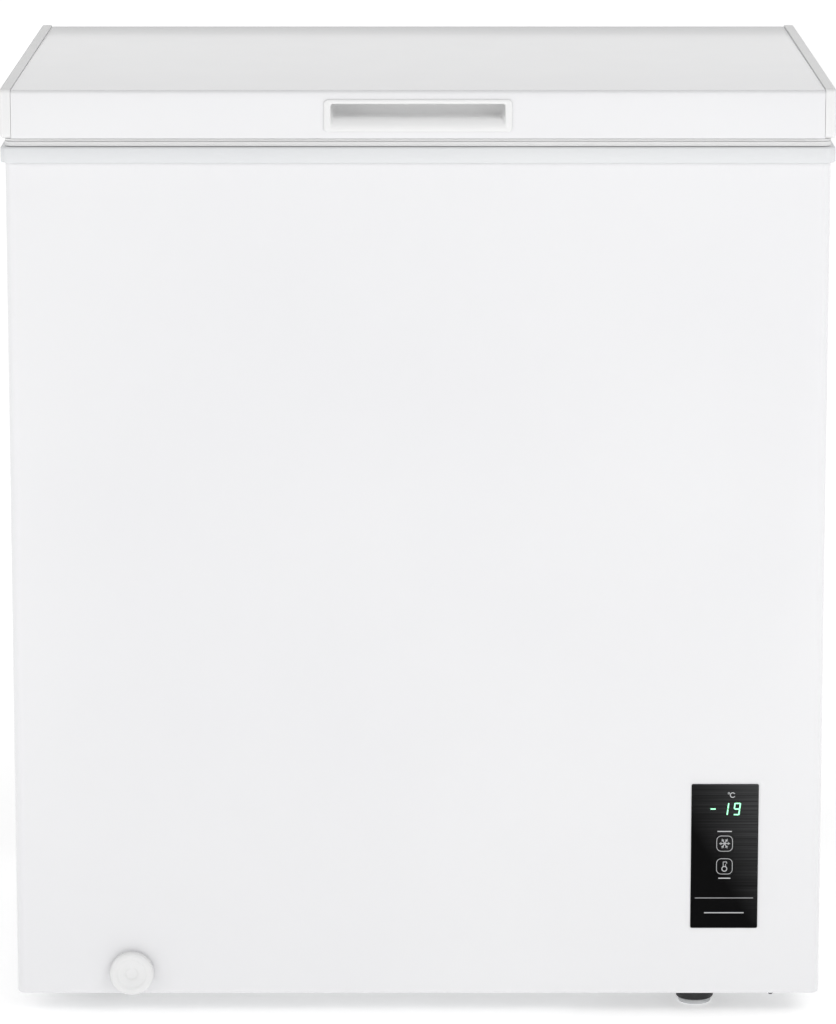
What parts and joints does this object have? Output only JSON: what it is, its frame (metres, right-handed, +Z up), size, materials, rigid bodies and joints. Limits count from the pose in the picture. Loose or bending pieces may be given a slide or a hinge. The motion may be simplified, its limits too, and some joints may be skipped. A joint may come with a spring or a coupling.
{
  "type": "chest freezer",
  "caption": "Chest freezer: foamed steel cabinet with hinged lid, recessed lid grip, compressor bay at the right, control panel, drain dial and wire basket.",
  "frame": {"origin": "on the floor, under the middle of the whole object, closed", "axes": "+Z up, front faces -Y, +X to the right for someone who stands in front of it"},
  "size_m": [0.74, 0.5756, 0.85],
  "materials": {
    "painted_sheet": "gloss",
    "white_plastic": "satin",
    "rim_plastic": "satin",
    "gasket": "matte",
    "foam": "matte",
    "liner": "satin",
    "zinc_sheet": "satin",
    "copper": "satin",
    "black_paint": "satin",
    "black_plastic": "matte",
    "black_gloss": "gloss",
    "rubber": "matte",
    "circuit_board": "satin",
    "basket_wire": "satin"
  },
  "bodies": {
    "cabinet": {"cabinet_wrapper": "painted_sheet", "back_panel": "zinc_sheet", "bottom_panel": "zinc_sheet", "body_foam": "foam", "inner_liner": "liner", "top_rim": "rim_plastic", "evaporator_coil": "copper", "condenser_coil": "copper", "drain_tube": "rim_plastic", "control_housing": "black_plastic", "control_fascia": "black_gloss", "display_board": "circuit_board", "compressor_tray": "zinc_sheet", "rear_bay_cover": "zinc_sheet", "cord_gland": "rubber", "side_vent_grille": "rim_plastic", "compressor_feet": "black_paint", "compressor": "black_paint", "compressor_grommet_front_left": "rubber", "compressor_grommet_front_right": "rubber", "compressor_grommet_rear_left": "rubber", "compressor_grommet_rear_right": "rubber", "terminal_cover": "black_plastic", "filter_drier": "copper", "suction_tube": "copper", "discharge_tube": "copper", "liquid_tube": "copper", "foot_front_right": "black_plastic", "foot_pad_front_right": "rim_plastic", "foot_front_left": "black_plastic", "foot_pad_front_left": "rim_plastic", "foot_rear_right": "black_plastic", "foot_pad_rear_right": "rim_plastic", "foot_rear_left": "black_plastic", "foot_pad_rear_left": "rim_plastic", "tray_bolt_left": "zinc_sheet", "tray_bolt_right": "zinc_sheet", "hinge_left_bracket": "zinc_sheet", "hinge_left_pin": "zinc_sheet", "hinge_left_spring": "zinc_sheet", "hinge_right_bracket": "zinc_sheet", "hinge_right_pin": "zinc_sheet", "hinge_right_spring": "zinc_sheet"},
    "lid": {"lid_outer_shell": "painted_sheet", "lid_end_cap_left": "white_plastic", "lid_end_cap_right": "white_plastic", "lid_handle_insert": "white_plastic", "lid_foam": "foam", "lid_inner_liner": "white_plastic", "lid_gasket": "gasket", "hinge_left_leaf": "zinc_sheet", "hinge_right_leaf": "zinc_sheet"},
    "hinge_left_plunger": {"hinge_left_plunger": "black_plastic"},
    "hinge_right_plunger": {"hinge_right_plunger": "black_plastic"},
    "drain_sleeve": {"drain_sleeve": "rim_plastic"},
    "drain_dial": {"drain_dial": "white_plastic"},
    "drain_plug": {"drain_plug": "white_plastic"},
    "basket": {"basket": "basket_wire"},
    "super_key": {"super_key": "black_gloss"},
    "temp_key": {"temp_key": "black_gloss"}
  },
  "joints": [
    {"name": "lid_hinge", "type": "hinge", "parent": "cabinet", "child": "lid", "pos_m": [0, 0.27275, 0.8], "axis": [-1, 0, 0], "range_deg": [0, 80]},
    {"name": "hinge_left_follow", "type": "slide", "parent": "cabinet", "child": "hinge_left_plunger", "axis": [0, 0, 1], "range_m": [0, 0.0031]},
    {"name": "hinge_right_follow", "type": "slide", "parent": "cabinet", "child": "hinge_right_plunger", "axis": [0, 0, 1], "range_m": [0, 0.0031]},
    {"name": "drain_pull", "type": "slide", "parent": "cabinet", "child": "drain_sleeve", "axis": [0, -1, 0], "range_m": [0, 0.03]},
    {"name": "drain_turn", "type": "hinge", "parent": "drain_sleeve", "child": "drain_dial", "pos_m": [-0.261, -0.27825, 0.041], "axis": [0, 1, 0], "range_deg": [0, 180]},
    {"name": "drain_plug_lift", "type": "slide", "parent": "cabinet", "child": "drain_plug", "axis": [0, 0, 1], "range_m": [0, 0.03]},
    {"name": "basket_slide", "type": "slide", "parent": "cabinet", "child": "basket", "axis": [-1, 0, 0], "range_m": [0, 0.36]},
    {"name": "super_key_press", "type": "slide", "parent": "cabinet", "child": "super_key", "axis": [0, 1, 0], "range_m": [0, 0.0008], "stiffness_N_per_m": 2000},
    {"name": "temp_key_press", "type": "slide", "parent": "cabinet", "child": "temp_key", "axis": [0, 1, 0], "range_m": [0, 0.0008], "stiffness_N_per_m": 2000}
  ],
  "couplings": [
    {"joint": "hinge_left_follow", "follows": "lid_hinge", "m_per_rad": 0.00215},
    {"joint": "hinge_right_follow", "follows": "lid_hinge", "m_per_rad": 0.00215}
  ]
}
